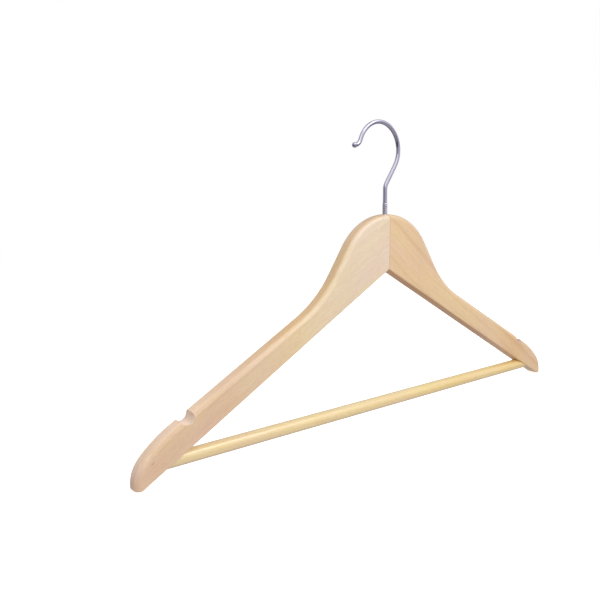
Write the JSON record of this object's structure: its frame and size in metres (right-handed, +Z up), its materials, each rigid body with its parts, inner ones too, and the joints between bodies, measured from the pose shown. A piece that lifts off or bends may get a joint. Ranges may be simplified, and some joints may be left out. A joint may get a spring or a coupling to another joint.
{
  "type": "clothes hanger",
  "caption": "Flat wooden clothes hanger with a swivelling wire hook, a round trouser bar and strap notches in both shoulders.",
  "frame": {"origin": "on the hook's swivel axis, at the middle of the board's thickness, level with the underside of the two shoulder ends", "axes": "+X along the hanger towards the right arm, with the hook opening towards -X; +Y towards the back face; +Z up, along the hook's swivel axis"},
  "size_m": [0.4476, 0.012, 0.2398],
  "materials": {
    "arm_wood_left": "clear satin-gloss lacquer over pale hardwood",
    "arm_wood_right": "clear satin-gloss lacquer over pale hardwood, slightly warmer",
    "spline_wood": "raw, glued in",
    "bar_wood": "clear gloss lacquer over a turned dowel",
    "brad_steel": "bright drawn wire",
    "hook_chrome": "polished chrome plating"
  },
  "bodies": {
    "hook": {"hook": "hook_chrome"},
    "frame": {"left_arm": "arm_wood_left", "right_arm": "arm_wood_right", "centre_spline": "spline_wood", "trouser_bar": "bar_wood", "left_brad": "brad_steel", "right_brad": "brad_steel"}
  },
  "joints": [
    {"name": "hook_swivel", "type": "hinge", "parent": "hook", "child": "frame", "pos_m": [0, 0, 0.15], "axis": [0, 0, 1], "continuous": true}
  ]
}
